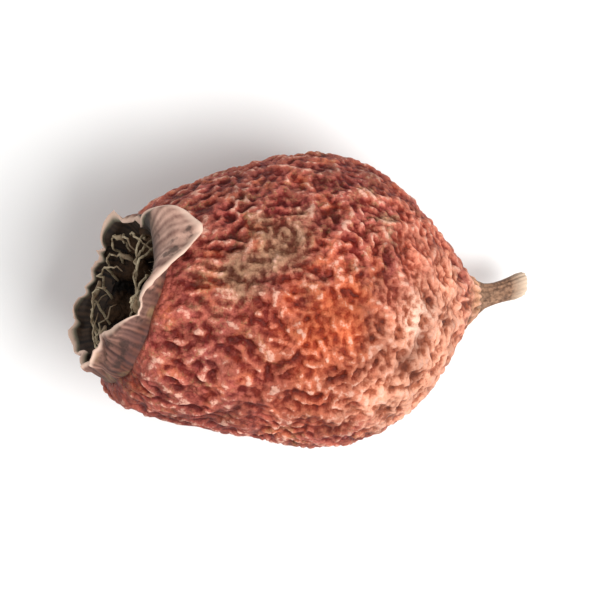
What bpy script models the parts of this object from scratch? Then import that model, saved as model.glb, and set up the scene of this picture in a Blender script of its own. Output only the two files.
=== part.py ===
"""A dried hawthorn berry lying on its side: shrivelled flesh, calyx crown, style and stalk stub.

The berry's own axis is local X. The calyx end is at -X and the stalk end at +X. Every piece is
modelled in that straight frame, where the calyx end is then turned a little askew, and hangs on
one empty, which tips the calyx end up as the berry lies on a table. Local Z is the upper side and
local Y the far side.
"""

import math

import bpy
import numpy as np

MM = 0.001

# Driving dimensions
FLESH_LENGTH = 10.3 * MM
FLESH_WIDTH = 8.0 * MM
PIT_WIDTH = 3.3 * MM
PIT_DEPTH = 1.3 * MM
RIM_WIDTH = 0.62 * MM
STYLE_HEIGHT = 1.15 * MM
STYLE_WIDTH = 0.75 * MM
STALK_LENGTH = 1.5 * MM
STALK_WIDTH = 0.62 * MM
JOINT_GAP = 0.04 * MM

# How it lies: the empty's place over the table, and how far the calyx end is tipped up
AXIS_TILT = math.radians(22)
AXIS_POINT = np.array([0.16, 0.033, 3.93]) * MM

# The calyx end sits askew: how far its rim leans, as a sine, and how far along the flesh it fades
CALYX_SLANT = math.sin(math.radians(13))
SLANT_REACH = 4.0 * MM

# Relief of the dried skin: width from crest to crest, and height from hollow to crest
DENT_WIDTH = 3.2 * MM
DENT_HEIGHT = 0.26 * MM
FOLD_WIDTH = 0.95 * MM
FOLD_HEIGHT = 0.18 * MM
FOLD_SHARPNESS = 1.0
END_DRAW = 1.2
RELIEF_SEED = 3

RELIEF_RISE = 0.9 * MM
SMOOTH_NECK = 0.35 * MM

# Small craters in the skin: millimetres from the calyx end, degrees round the axis, and
# width and depth in millimetres
CRATERS = [(6.7, 118, 0.5, 0.22), (7.3, 110, 0.4, 0.2), (7.2, 128, 0.35, 0.15), (3.4, 70, 0.5, 0.12)]

# The relief is grown on a fine grid, and the solid keeps one grid point in four each way
GRID_RINGS = 241
GRID_COLUMNS = 384
KEEP_EVERY = 4

# How folds grow: two smoothings, the second this much wider, whose difference favours waves
# this many first smoothings long; the push to full height, and how often it is given
WIDER = 1.7
WAVE_IN_SMOOTHINGS = 5.93
PUSH = 6.0
GROWTH_ROUNDS = 14

# Outlines as (share along, share across), through which a smooth curve runs
PIT_OUTLINE = [(1.0, 0.0), (1.0, 0.42), (0.88, 0.78), (0.45, 0.96), (0.08, 1.04)]
RIM_START = PIT_WIDTH / 2 * 1.04
FLANK_OUTLINE = [
    (0.028, 0.66),
    (0.087, 0.735),
    (0.22, 0.845),
    (0.36, 0.943),
    (0.50, 1.0),
    (0.63, 0.952),
    (0.777, 0.73),
    (0.854, 0.53),
    (0.927, 0.30),
    (0.968, 0.182),
    (0.995, 0.13),
]

# Sepals of the crown: direction round the axis (0 far, 90 up, 180 near), half width, length,
# lean at the root and roll from root to tip (positive outwards, over the shoulder)
SEPALS = [
    {"at": 62, "half_width": 33, "length": 2.2 * MM, "lean": 46, "roll": 108},
    {"at": 142, "half_width": 38, "length": 1.25 * MM, "lean": 4, "roll": -70},
    {"at": 194, "half_width": 30, "length": 0.9 * MM, "lean": 10, "roll": -36},
    {"at": 250, "half_width": 36, "length": 0.95 * MM, "lean": 18, "roll": -22},
    {"at": 326, "half_width": 44, "length": 0.95 * MM, "lean": 4, "roll": -40},
]
CROWN_RIM_HEIGHT = 0.42 * MM
CROWN_RIM_LEAN = 14
CROWN_RIM_ROLL = 0
CROWN_STEPS = 80
BLADE_THICKNESS = 0.6 * MM
BLADE_TAPER = [1.0, 1.0, 1.0, 1.0, 0.96, 0.9, 0.78, 0.45]

# Stubs: shares of their width from root to tip, and sideways bend at the tip. BEND_GROWTH is 1 for
# a straight lean and 2 for an even curve. RIB_HEIGHT is a share of the radius
STYLE_TAPER = [1.0, 0.82, 0.68, 0.6, 0.66, 0.5]
STYLE_BEND = 0.22 * MM
STALK_TAPER = [1.6, 1.22, 1.03, 0.95, 0.95, 1.0, 1.1, 1.06]
STALK_BEND = 0.43 * MM
BEND_GROWTH = 1.3
RIB_HEIGHT = 0.09
STUB_COLUMNS = 14

COLOURS = {
    "berry": ("#9c5646", 0.55),
    "calyx_crown": ("#886456", 0.8),
    "style": ("#b79a7c", 0.8),
    "stalk": ("#9d7c69", 0.75),
}


def clear_scene():
    for thing in list(bpy.data.objects):
        bpy.data.objects.remove(thing)


def linear(hex_colour):
    """sRGB hex to the linear values that a shader takes."""
    shares = [int(hex_colour[i : i + 2], 16) / 255 for i in (1, 3, 5)]
    return [c / 12.92 if c <= 0.04045 else ((c + 0.055) / 1.055) ** 2.4 for c in shares]


def smooth_curve(points, count):
    """A curve through the points, with equal steps of length, and the length run at each step."""
    points = np.array(points)
    chord = np.r_[0, np.cumsum(np.linalg.norm(np.diff(points, axis=0), axis=1))]
    tangent = np.gradient(points, chord, axis=0)
    fine = np.linspace(0, chord[-1], 4000)
    span = np.clip(np.searchsorted(chord, fine, "right") - 1, 0, len(points) - 2)
    width = (chord[span + 1] - chord[span])[:, None]
    t = (fine[:, None] - chord[span][:, None]) / width
    curve = (
        (2 * t**3 - 3 * t**2 + 1) * points[span]
        + (t**3 - 2 * t**2 + t) * width * tangent[span]
        + (3 * t**2 - 2 * t**3) * points[span + 1]
        + (t**3 - t**2) * width * tangent[span + 1]
    )
    run = np.r_[0, np.cumsum(np.linalg.norm(np.diff(curve, axis=0), axis=1))]
    at = np.linspace(0, run[-1], count)
    return np.stack([np.interp(at, run, curve[:, i]) for i in (0, 1)], axis=1), at


def flesh_outline():
    """Half outline of the flesh: pit floor, pit wall, rim, flank and neck, as (along, across)."""
    pit = [(PIT_DEPTH * deep, PIT_WIDTH / 2 * wide) for deep, wide in PIT_OUTLINE]
    rim = [(0.0, RIM_START + RIM_WIDTH * share) for share in (0.16, 0.55, 0.95)]
    flank = [(FLESH_LENGTH * along, FLESH_WIDTH / 2 * wide) for along, wide in FLANK_OUTLINE]
    neck = [(FLESH_LENGTH, FLESH_WIDTH / 2 * wide) for wide in (0.09, 0.045, 0.0)]
    curve, run = smooth_curve(pit + rim + flank + neck, GRID_RINGS)
    curve[:, 0] -= FLESH_LENGTH / 2
    curve[:, 1] = np.maximum(curve[:, 1], 0)
    return curve, run


class SkinGrid:
    """Rings and columns over the flesh, with the smoothing that its relief is grown by."""

    def __init__(self):
        self.curve, self.run = flesh_outline()
        self.radius = np.maximum(self.curve[:, 1], 0.05 * MM)
        self.shape = (GRID_RINGS, GRID_COLUMNS)
        self.rim_end = self.run[self.curve[:, 1] > RIM_START + RIM_WIDTH][0]
        # Share of the flank's length, from the rim to the neck
        flank = self.run[-1] - self.rim_end
        self.share = np.clip((self.run - self.rim_end) / flank, 0, 1)

    def blur(self, field, along, across):
        """Gaussian smoothing by real distances; along may differ from ring to ring."""
        gap = (self.run[:, None] - self.run[None, :]) / np.reshape(along, (-1, 1))
        weight = np.exp(-0.5 * gap**2)
        weight /= weight.sum(axis=1, keepdims=True)
        waves = np.fft.rfftfreq(GRID_COLUMNS, 1 / GRID_COLUMNS)
        damping = np.exp(-0.5 * (waves[None, :] / self.radius[:, None] * across) ** 2)
        spectrum = np.fft.rfft(weight @ field, axis=1) * damping
        return np.fft.irfft(spectrum, GRID_COLUMNS, axis=1)

    def noise(self, width, seed):
        """Soft random hills of about this width, with a spread of 1."""
        raw = np.random.default_rng(seed).normal(size=self.shape)
        soft = self.blur(raw, np.full(GRID_RINGS, width / 2), width / 2)
        return soft / soft.std()

    def folds(self, width, seed):
        """Winding folds this wide, from -1 to 1.

        Random bumps are smoothed at two widths, and the difference is pushed towards full height
        again and again. What lies near a fold's width apart grows and joins up, as in a skin that
        has grown too large for what it covers. Towards both ends the folds are drawn out along
        the berry.
        """
        across = width / WAVE_IN_SMOOTHINGS
        along = across * (1 + END_DRAW * np.abs(2 * self.share - 1) ** 3)
        height = np.random.default_rng(seed).normal(size=self.shape)
        for _ in range(GROWTH_ROUNDS):
            fine = self.blur(height, along, across)
            wide = self.blur(height, WIDER * along, WIDER * across)
            height = np.tanh(PUSH * (fine - wide))
        return self.blur(height, along / 2, across / 2)

    def craters(self):
        """Depth of the small craters."""
        turn = np.linspace(0, 360, GRID_COLUMNS, endpoint=False)
        depth = np.zeros(self.shape)
        for along, at, width, deep in CRATERS:
            ahead = self.curve[:, :1] + FLESH_LENGTH / 2 - along * MM
            aside = np.radians((turn - at + 180) % 360 - 180) * self.radius[:, None]
            depth += deep * MM * np.exp(-2 * (ahead**2 + aside**2) / (width * MM) ** 2)
        return depth

    def on_flank(self):
        """0 in the pit and on the rim, 1 on the flank, 0 where the stalk joins."""
        rise = np.clip((self.run - self.rim_end) / RELIEF_RISE, 0, 1)
        fall = np.clip((self.run[-1] - SMOOTH_NECK - self.run) / RELIEF_RISE, 0, 1)
        share = rise * fall
        return (share * share * (3 - 2 * share))[:, None]


def peaked(height):
    """Narrows the crests and widens the hollows between them, still 1 from crest to hollow."""
    return (np.exp(FOLD_SHARPNESS * height) - 1) / (2 * math.sinh(FOLD_SHARPNESS))


def flesh_points():
    """Points of the flesh on the whole grid, ring by ring, in the berry's own frame."""
    grid = SkinGrid()
    dents = np.tanh(grid.noise(DENT_WIDTH, RELIEF_SEED + 1)) * DENT_HEIGHT / 2
    folds = peaked(grid.folds(FOLD_WIDTH, RELIEF_SEED)) * FOLD_HEIGHT
    relief = grid.on_flank() * (dents + folds - grid.craters())

    turn = np.linspace(0, 2 * math.pi, GRID_COLUMNS, endpoint=False)
    slope = np.gradient(grid.curve, grid.run, axis=0)
    # The outline runs from pit to neck, so outwards is its tangent turned by a quarter
    along = grid.curve[:, 0, None] - relief * slope[:, 1, None]
    across = grid.curve[:, 1, None] + relief * slope[:, 0, None]
    points = np.stack([along + 0 * turn, across * np.cos(turn), across * np.sin(turn)], axis=-1)
    return flattened(askew(points))


def askew(points):
    """Shears the calyx end so that its rim leans, and moves what stands beyond the rim with it."""
    ahead = points[..., 0] + FLESH_LENGTH / 2
    near_calyx = np.clip(1 - ahead / SLANT_REACH, 0, 1)
    turned = points.copy()
    turned[..., 0] += CALYX_SLANT * points[..., 1] * near_calyx**2 * (3 - 2 * near_calyx)
    turned[..., 1] -= CALYX_SLANT * np.minimum(ahead, 0)
    return turned


def flattened(points):
    """Moves what would lie under the table up to it, which leaves a small flat spot."""
    up = np.array([-math.sin(AXIS_TILT), 0, math.cos(AXIS_TILT)])
    height = points @ up + AXIS_POINT[2]
    return points - np.minimum(height, 0)[..., None] * up


def solid(name, points, closed_ring=False):
    """A closed mesh object from rings of points.

    The first and last rings become one point each or, in a closed ring, meet each other.
    """
    rings, columns = points.shape[:2]
    index = np.arange(rings * columns).reshape(rings, columns)
    if closed_ring:
        places = points.reshape(-1, 3)
        index = np.vstack([index, index[:1]])
    else:
        index = index - (columns - 1)
        index[0] = 0
        index[-1] = index[-2, -1] + 1
        middle = points[1:-1].reshape(-1, 3)
        places = np.vstack([points[0].mean(axis=0), middle, points[-1].mean(axis=0)])
    faces = []
    for ring, following in zip(index[:-1], index[1:]):
        corners = zip(ring, np.roll(ring, -1), np.roll(following, -1), following)
        faces += [list(dict.fromkeys(int(c) for c in face)) for face in corners]
    mesh = bpy.data.meshes.new(name)
    mesh.from_pydata(places.tolist(), [], faces)
    thing = bpy.data.objects.new(name, mesh)
    bpy.context.scene.collection.objects.link(thing)
    face_outwards(mesh)
    mesh.shade_smooth()
    mesh.materials.append(material_of(name))
    return thing


def face_outwards(mesh):
    """Turns the faces round if the mesh encloses a negative volume."""
    mesh.calc_loop_triangles()
    places = np.array([vertex.co for vertex in mesh.vertices])
    corners = places[np.array([triangle.vertices for triangle in mesh.loop_triangles])]
    if np.linalg.det(corners).sum() < 0:
        mesh.flip_normals()


def material_of(name):
    colour, roughness = COLOURS[name]
    material = bpy.data.materials.new(name)
    material.use_nodes = True
    shader = material.node_tree.nodes["Principled BSDF"]
    shader.inputs["Base Color"].default_value = (*linear(colour), 1)
    shader.inputs["Roughness"].default_value = roughness
    shader.inputs["Metallic"].default_value = 0
    return material


def berry():
    """The flesh, with the pit that the crown stands round."""
    return solid("berry", flesh_points()[::KEEP_EVERY, ::KEEP_EVERY])


def sepal_mix(turn):
    """Length, lean and roll of the crown's blade at each angle round the axis, in degrees."""
    weights = []
    for sepal in SEPALS:
        away = np.abs((turn - sepal["at"] + 180) % 360 - 180) / sepal["half_width"]
        weights.append(np.clip(1 - away, 0, 1))
    weights = np.array(weights)
    length = np.full(len(turn), CROWN_RIM_HEIGHT)
    lean = np.full(len(turn), float(CROWN_RIM_LEAN))
    roll = np.full(len(turn), float(CROWN_RIM_ROLL))
    for sepal, weight in zip(SEPALS, weights):
        length += (sepal["length"] - CROWN_RIM_HEIGHT) * weight**0.8
        lean += (sepal["lean"] - CROWN_RIM_LEAN) * weight**0.5
        roll += (sepal["roll"] - CROWN_RIM_ROLL) * weight**0.5
    return length, np.radians(lean), np.radians(roll)


def calyx_crown():
    """The ring of five withered sepals round the pit, as one blade swept round the axis."""
    turn = np.arange(CROWN_STEPS) * 360 / CROWN_STEPS
    length, lean, roll = sepal_mix(turn)
    root = RIM_START + RIM_WIDTH * 0.55
    stations = np.linspace(0, 1, len(BLADE_TAPER))
    step = length[:, None] / (len(stations) - 1)
    heading = lean[:, None] + roll[:, None] * stations[None, :]
    middle = (heading[:, 1:] + heading[:, :-1]) / 2
    flat_start = np.zeros((CROWN_STEPS, 1))
    out = np.hstack([flat_start, np.cumsum(np.sin(middle) * step, axis=1)]) + root
    up = np.hstack([flat_start, np.cumsum(np.cos(middle) * step, axis=1)])
    half = BLADE_THICKNESS / 2 * np.array(BLADE_TAPER)
    heading[:, 0] = 0
    side_out = np.cos(heading) * half
    side_up = -np.sin(heading) * half
    outer = np.stack([up + side_up, out + side_out], axis=-1)
    inner = np.stack([up - side_up, out - side_out], axis=-1)
    section = np.concatenate([outer, inner[:, ::-1]], axis=1)
    angle = np.radians(turn)[:, None]
    ahead = -FLESH_LENGTH / 2 - JOINT_GAP - section[..., 0]
    points = [ahead, section[..., 1] * np.cos(angle), section[..., 1] * np.sin(angle)]
    return solid("calyx_crown", askew(np.stack(points, axis=-1)), closed_ring=True)


def stub(length, width, taper, ribs, bend):
    """A short tapered and ribbed stub along +X, bent towards +Y by this much at its end."""
    share = np.linspace(0, 1, len(taper))[:, None]
    turn = np.linspace(0, 2 * math.pi, STUB_COLUMNS, endpoint=False)[None, :]
    rib = 1 + RIB_HEIGHT * np.cos(ribs * turn + 2 * share)
    radius = width / 2 * np.array(taper)[:, None] * rib
    sides = np.stack(
        [
            length * share + 0 * turn,
            radius * np.cos(turn) + bend * share**BEND_GROWTH,
            radius * np.sin(turn),
        ],
        axis=-1,
    )
    ends = [np.broadcast_to(side.mean(axis=0), side.shape) for side in (sides[0], sides[-1])]
    return np.concatenate([ends[:1], sides, ends[1:]])


def style():
    """The withered style that stands on the pit's floor, turned round to point at the calyx end."""
    points = stub(STYLE_HEIGHT, STYLE_WIDTH, STYLE_TAPER, 3, STYLE_BEND) * [-1, -1, 1]
    points[..., 0] += PIT_DEPTH - FLESH_LENGTH / 2 - JOINT_GAP
    return solid("style", askew(points))


def stalk():
    """The dry stub of the stalk, flared at the neck and where it broke off."""
    points = stub(STALK_LENGTH, STALK_WIDTH, STALK_TAPER, 5, STALK_BEND)
    points[..., 0] += FLESH_LENGTH / 2 + JOINT_GAP
    return solid("stalk", points)


def main():
    clear_scene()
    axis = bpy.data.objects.new("berry_axis", None)
    bpy.context.scene.collection.objects.link(axis)
    axis.location = AXIS_POINT
    axis.rotation_euler = (0, AXIS_TILT, 0)
    for piece in (berry(), calyx_crown(), style(), stalk()):
        piece.parent = axis


main()
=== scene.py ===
# %% [markdown]
# # A dried hawthorn berry, seen from straight above
#
# This lesson dresses the plain solids of one dried haw: the shrivelled flesh, the crown of withered
# sepals round its pit, the style on the pit's floor and the stub of its stalk. The solids come
# packed as a frame. We load it first, because the finer pieces have to keep to it.

# %% The frame
import math

import bpy
import numpy as np
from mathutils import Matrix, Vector


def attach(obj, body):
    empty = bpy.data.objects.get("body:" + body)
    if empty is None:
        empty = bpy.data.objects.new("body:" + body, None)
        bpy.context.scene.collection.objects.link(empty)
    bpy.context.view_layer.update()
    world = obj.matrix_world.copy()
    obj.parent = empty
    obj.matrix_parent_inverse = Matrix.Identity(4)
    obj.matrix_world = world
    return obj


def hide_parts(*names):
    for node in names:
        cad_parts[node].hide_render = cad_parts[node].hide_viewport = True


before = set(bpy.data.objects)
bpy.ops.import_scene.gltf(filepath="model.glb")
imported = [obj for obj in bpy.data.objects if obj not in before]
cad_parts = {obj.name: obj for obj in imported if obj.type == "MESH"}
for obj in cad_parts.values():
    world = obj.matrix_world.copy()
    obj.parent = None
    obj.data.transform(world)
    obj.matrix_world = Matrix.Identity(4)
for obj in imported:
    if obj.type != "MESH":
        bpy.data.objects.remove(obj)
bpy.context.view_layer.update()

print("nodes:", sorted(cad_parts))

# %% [markdown]
# The solids follow a few sizes, and the finer pieces need the same ones to lie where the solids lie.
# The berry's own axis is X in its straight frame, calyx end at -X. AXIS_TILT and AXIS_POINT say
# how that frame lies over the table. The calyx end sits a little askew, as it does on many haws: near
# it the points are sheared sideways, and eased lets the shear begin softly.

# %% Sizes shared with the solids
MM = 0.001
FLESH_LENGTH = 10.3 * MM
FLESH_WIDTH = 8.0 * MM
PIT_WIDTH = 3.3 * MM
PIT_DEPTH = 1.3 * MM
PIT_FLARE = 1.04
RIM_WIDTH = 0.62 * MM
RIM_START = PIT_WIDTH / 2 * PIT_FLARE
RIM_MIDDLE = 0.55
AXIS_TILT = math.radians(22)
AXIS_POINT = np.array([0.16, 0.033, 3.93]) * MM
CALYX_SLANT = math.sin(math.radians(13))
SLANT_REACH = 4.0 * MM


def eased(share):
    """From 0 to 1 as share is, but with a soft start and a soft end."""
    return share**2 * (3 - 2 * share)


def placed(points):
    """Points of the berry's straight frame, as it lies on the table with its calyx end askew."""
    points = np.asarray(points)
    along, far, up = points[..., 0], points[..., 1], points[..., 2]
    ahead = along + FLESH_LENGTH / 2
    near_calyx = np.clip(1 - ahead / SLANT_REACH, 0, 1)
    along = along + CALYX_SLANT * far * eased(near_calyx)
    far = far - CALYX_SLANT * np.minimum(ahead, 0)
    cosine, sine = math.cos(AXIS_TILT), math.sin(AXIS_TILT)
    return AXIS_POINT + np.stack([along * cosine + up * sine, far, up * cosine - along * sine], -1)


print("neck lies at", (placed([FLESH_LENGTH / 2, 0, 0]) / MM).round(2), "mm")

# %% [markdown]
# ## The shape under the wrinkles
#
# A plump haw is an egg with a pit in its blunt end. Its half outline is a smooth curve through a few
# points, from the middle of the pit's floor over the rim and the flank to the neck. Each list below
# gives shares of a size: how deep or how far along, and how far out from the axis. The curve is cut
# into equal steps of length, because the wrinkles will be measured along it.

# %% The half outline
PIT_OUTLINE = [(1.0, 0.0), (1.0, 0.42), (0.88, 0.78), (0.45, 0.96), (0.08, PIT_FLARE)]
RIM_OUTLINE = [0.16, RIM_MIDDLE, 0.95]
FLANK_OUTLINE = [
    (0.028, 0.66),
    (0.087, 0.735),
    (0.22, 0.845),
    (0.36, 0.943),
    (0.50, 1.0),
    (0.63, 0.952),
    (0.777, 0.73),
    (0.854, 0.53),
    (0.927, 0.30),
    (0.968, 0.182),
    (0.995, 0.13),
]
NECK_OUTLINE = [0.09, 0.045, 0.0]
RINGS = 241
COLUMNS = 384
CURVE_SAMPLES = 4000
LEAST_RADIUS = 0.05 * MM


def smooth_curve(points, count):
    """A curve through the points, with equal steps of length, and the length run at each step."""
    points = np.array(points)
    chord = np.r_[0, np.cumsum(np.linalg.norm(np.diff(points, axis=0), axis=1))]
    tangent = np.gradient(points, chord, axis=0)
    fine = np.linspace(0, chord[-1], CURVE_SAMPLES)
    span = np.clip(np.searchsorted(chord, fine, "right") - 1, 0, len(points) - 2)
    width = (chord[span + 1] - chord[span])[:, None]
    t = (fine[:, None] - chord[span][:, None]) / width
    curve = (
        (2 * t**3 - 3 * t**2 + 1) * points[span]
        + (t**3 - 2 * t**2 + t) * width * tangent[span]
        + (3 * t**2 - 2 * t**3) * points[span + 1]
        + (t**3 - t**2) * width * tangent[span + 1]
    )
    run = np.r_[0, np.cumsum(np.linalg.norm(np.diff(curve, axis=0), axis=1))]
    at = np.linspace(0, run[-1], count)
    return np.stack([np.interp(at, run, curve[:, i]) for i in (0, 1)], axis=1), at


pit = [(PIT_DEPTH * deep, PIT_WIDTH / 2 * wide) for deep, wide in PIT_OUTLINE]
rim = [(0.0, RIM_START + RIM_WIDTH * wide) for wide in RIM_OUTLINE]
flank = [(FLESH_LENGTH * along, FLESH_WIDTH / 2 * wide) for along, wide in FLANK_OUTLINE]
neck = [(FLESH_LENGTH, FLESH_WIDTH / 2 * wide) for wide in NECK_OUTLINE]
outline, run = smooth_curve(pit + rim + flank + neck, RINGS)
outline[:, 0] -= FLESH_LENGTH / 2
outline[:, 1] = np.maximum(outline[:, 1], 0)
radius = np.maximum(outline[:, 1], LEAST_RADIUS)
rim_end = run[outline[:, 1] > RIM_START + RIM_WIDTH][0]
flank_share = np.clip((run - rim_end) / (run[-1] - rim_end), 0, 1)
print("from pit to neck:", round(run[-1] / MM, 1), "mm, ring step", round(run[1] / MM, 3), "mm")

# %% [markdown]
# ## Wrinkles that grow
#
# When a haw dries, its waxy skin keeps its area while the pulp under it shrinks, so the skin buckles
# into winding ridges about as far apart as it is thick times ten. Noise textures give soft hills and
# not ridges. So we let the ridges grow: random bumps are smoothed at two widths, and the difference
# is pushed towards full height again and again. Bumps that lie one ridge apart feed each other and
# join up. The smoothing works by real distances, as a sum along the outline and a filter round it.

# %% Smoothing and growing
WIDER = 1.7
WAVE_IN_SMOOTHINGS = 5.93
PUSH = 6.0
GROWTH_ROUNDS = 14
END_DRAW = 1.2


def blur(field, along, across):
    """Gaussian smoothing by real distances; along may differ from ring to ring."""
    gap = (run[:, None] - run[None, :]) / np.reshape(along, (-1, 1))
    weight = np.exp(-0.5 * gap**2)
    weight /= weight.sum(axis=1, keepdims=True)
    waves = np.fft.rfftfreq(COLUMNS, 1 / COLUMNS)
    damping = np.exp(-0.5 * (waves[None, :] / radius[:, None] * across) ** 2)
    return np.fft.irfft(np.fft.rfft(weight @ field, axis=1) * damping, COLUMNS, axis=1)


def noise(width, seed):
    """Soft random hills of about this width, with a spread of 1."""
    raw = np.random.default_rng(seed).normal(size=(RINGS, COLUMNS))
    soft = blur(raw, np.full(RINGS, width / 2), width / 2)
    return soft / soft.std()


def folds(width, seed, lean=0.0):
    """Ridges this far apart, from -1 to 1, drawn out lengthwise towards both ends.

    They wind freely where lean is 0. Where it is above 0 they join up to a net, and below 0 they
    break into separate bumps.
    """
    across = width / WAVE_IN_SMOOTHINGS
    along = across * (1 + END_DRAW * np.abs(2 * flank_share - 1) ** 3)
    height = np.random.default_rng(seed).normal(size=(RINGS, COLUMNS))
    for _ in range(GROWTH_ROUNDS):
        fine = blur(height, along, across)
        wide = blur(height, WIDER * along, WIDER * across)
        height = np.tanh(PUSH * (fine - wide) + lean)
    return blur(height, along / 2, across / 2)


def peaked(height, sharpness):
    """Narrows the crests and widens the hollows between them, still 1 from crest to hollow."""
    return (np.exp(sharpness * height) - 1) / (2 * math.sinh(sharpness))


# %% [markdown]
# The solid already has the dents, the main folds and its own creases. The finer grid lets us draw
# them sharper and add what a solid is too coarse for. Creases of two widths are mixed, because real
# skin is nowhere evenly wrinkled: mix says where the wide ones take over, and lean where the creases
# close up to a net or fall apart into bumps. Folds and creases are blended by whichever is higher,
# softly, so that a crease dies away where it meets a fold.

# %% Folds and creases
DENT_WIDTH, DENT_HEIGHT = 3.2 * MM, 0.26 * MM
FOLD_WIDTH, FOLD_HEIGHT = 0.95 * MM, 0.18 * MM
CREASE_WIDTH, CREASE_HEIGHT = 0.38 * MM, 0.12 * MM
WIDE_CREASE, MIX_WIDTH = 0.58 * MM, 1.5 * MM
UNEVEN_WIDTH, UNEVEN_SHARE = 1.2 * MM, 0.35
LEAN_WIDTH, LEAN_SHARE = 1.4 * MM, 0.35
BLEND = 0.03 * MM
FOLD_PEAK, CREASE_PEAK = 1.0, 1.2
LEAST_CREASE, MOST_CREASE = 0.3, 1.6
RELIEF_SEED = 3

dents = np.tanh(noise(DENT_WIDTH, RELIEF_SEED + 1)) * DENT_HEIGHT / 2
main_folds = peaked(folds(FOLD_WIDTH, RELIEF_SEED), FOLD_PEAK) * FOLD_HEIGHT
lean = LEAN_SHARE * noise(LEAN_WIDTH, RELIEF_SEED + 7)
creases = peaked(folds(CREASE_WIDTH, RELIEF_SEED + 2, lean), CREASE_PEAK)
wide_creases = peaked(folds(WIDE_CREASE, RELIEF_SEED + 9, lean), CREASE_PEAK)
mix = np.clip(0.5 + noise(MIX_WIDTH, RELIEF_SEED + 10), 0, 1)
creases = (creases + (wide_creases - creases) * mix) * CREASE_HEIGHT
uneven = 1 + UNEVEN_SHARE * noise(UNEVEN_WIDTH, RELIEF_SEED + 6)
creases *= np.clip(uneven, LEAST_CREASE, MOST_CREASE)
network = BLEND * np.logaddexp(main_folds / BLEND, creases / BLEND)
print("folds and creases span", (np.ptp(network) / MM).round(2), "mm")

# %% [markdown]
# A grain of small wrinkles lies over both, and a few small craters mark where the skin was bruised.
# Their sizes are in millimetres, along from the calyx, and their places in degrees round the axis.
# The whole relief rises quickly behind the rim of the pit and dies away slowly towards the neck.

# %% The relief of the skin
WRINKLE_WIDTH, WRINKLE_HEIGHT, WRINKLE_PEAK = 0.26 * MM, 0.05 * MM, 1.0
CRATERS = [
    {"along": 6.7, "degrees": 118, "wide": 0.5, "deep": 0.22},
    {"along": 7.3, "degrees": 110, "wide": 0.4, "deep": 0.2},
    {"along": 7.2, "degrees": 128, "wide": 0.35, "deep": 0.15},
    {"along": 3.4, "degrees": 70, "wide": 0.5, "deep": 0.12},
]
RIM_RISE, NECK_FALL, SMOOTH_NECK = 0.5 * MM, 0.9 * MM, 0.35 * MM

wrinkles = peaked(folds(WRINKLE_WIDTH, RELIEF_SEED + 3), WRINKLE_PEAK) * WRINKLE_HEIGHT
turn = np.linspace(0, 2 * math.pi, COLUMNS, endpoint=False)
craters = 0
for crater in CRATERS:
    ahead = outline[:, :1] + FLESH_LENGTH / 2 - crater["along"] * MM
    aside = (turn - math.radians(crater["degrees"]) + math.pi) % (2 * math.pi) - math.pi
    away = ahead**2 + (radius[:, None] * aside) ** 2
    craters = craters + crater["deep"] * MM * np.exp(-2 * away / (crater["wide"] * MM) ** 2)
rise = np.clip((run - rim_end) / RIM_RISE, 0, 1)
fall = np.clip((run[-1] - SMOOTH_NECK - run) / NECK_FALL, 0, 1)
on_flank = eased(rise * fall)
relief = on_flank[:, None] * (dents + network - network.mean() + wrinkles - craters)
print("relief from", (relief.min() / MM).round(2), "to", (relief.max() / MM).round(2), "mm")

# %% [markdown]
# The pit's floor is the dried disc of the flower. It is puckered into spokes and rough with what is
# left of its down.

# %% The relief of the pit
SPOKES = 11
SPOKE_HEIGHT = 0.07 * MM
SPOKE_WANDER, WANDER_WIDTH = 0.5, 1.0 * MM
PIT_ROUGHNESS, PIT_GRAIN = 0.05 * MM, 0.3 * MM
PIT_FADE = 0.5 * MM

in_pit = np.clip((rim_end - run) / PIT_FADE, 0, 1) * np.clip(radius / PIT_FADE, 0, 1)
wander = SPOKE_WANDER * noise(WANDER_WIDTH, RELIEF_SEED + 4)
spokes = np.cos(SPOKES * turn[None, :] + wander) * SPOKE_HEIGHT
rough = noise(PIT_GRAIN, RELIEF_SEED + 5) * PIT_ROUGHNESS
relief = relief + in_pit[:, None] * (spokes + rough)
print("spokes round the pit:", SPOKES)

# %% [markdown]
# At the neck the skin is gathered into fine lengthwise pleats, where it was drawn tight round the
# stalk as it dried.

# %% The pleats of the neck
PLEATS = 17
PLEAT_HEIGHT = 0.03 * MM
PLEAT_WANDER, PLEAT_BEND_WIDTH = 0.8, 1.2 * MM
PLEATS_START, PLEATS_GROW = 0.84, 0.08
PLEATS_FADE = 0.3 * MM

near_neck = np.clip((flank_share - PLEATS_START) / PLEATS_GROW, 0, 1)
near_neck *= np.clip((run[-1] - run) / PLEATS_FADE, 0, 1)
wander = PLEAT_WANDER * noise(PLEAT_BEND_WIDTH, RELIEF_SEED + 8)
relief = relief + near_neck[:, None] * np.cos(PLEATS * turn[None, :] + wander) * PLEAT_HEIGHT
print("pleats round the neck:", PLEATS)

# %% [markdown]
# ## From rings to meshes
#
# Every piece of this berry is a stack of rings, so one function turns rings of points into a closed
# mesh. The faces are counted out from the numbers of the points, which is quicker and surer than
# modelling by hand, and the facts that the materials will need ride along at the vertices.

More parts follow.
